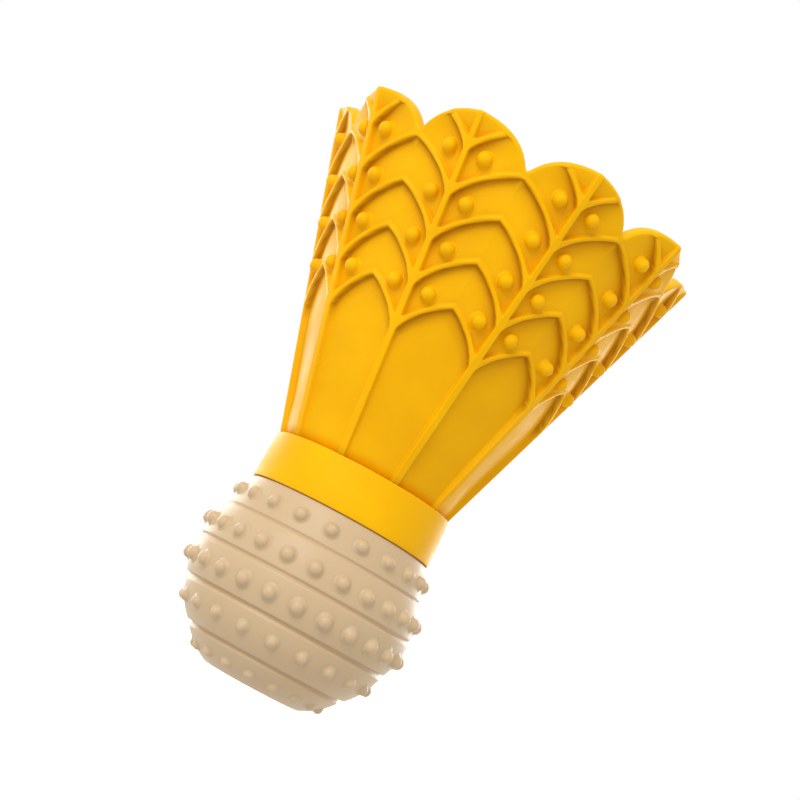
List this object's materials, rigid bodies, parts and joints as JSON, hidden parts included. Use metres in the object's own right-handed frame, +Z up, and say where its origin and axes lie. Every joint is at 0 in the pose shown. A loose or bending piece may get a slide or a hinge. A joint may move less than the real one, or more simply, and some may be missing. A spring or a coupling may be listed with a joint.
{
  "type": "shuttlecock chew toy",
  "caption": "Shuttlecock-shaped rubber chew toy: a nubbed hollow ball with a squeaker, a collar band and a flared skirt of ribbed feather petals.",
  "frame": {"origin": "centre of the ball's flat foot, on the surface that the toy stands on", "axes": "+Z up the toy's axis from the ball to the skirt's rim; -Y faces a notch between two petals"},
  "size_m": [0.0944, 0.0898, 0.13],
  "materials": {
    "yellow_rubber": "satin",
    "beige_rubber": "satin",
    "plug_plastic": "matte",
    "squeaker_plastic": "satin",
    "reed_plastic": "satin"
  },
  "bodies": {
    "toy": {"ball_shell": "beige_rubber", "feather_skirt": "yellow_rubber", "collar_band": "yellow_rubber", "neck_plug": "plug_plastic", "squeaker_cup": "squeaker_plastic", "reed_plate": "squeaker_plastic", "reed_clamp": "squeaker_plastic", "squeaker_cap": "squeaker_plastic"},
    "reed": {"squeaker_reed": "reed_plastic"}
  },
  "joints": [
    {"name": "reed_flap", "type": "hinge", "parent": "toy", "child": "reed", "pos_m": [-0.0041, 0, 0.0486], "axis": [0, -1, 0], "range_deg": [0, 8], "stiffness_Nm_per_rad": 0.00002}
  ]
}
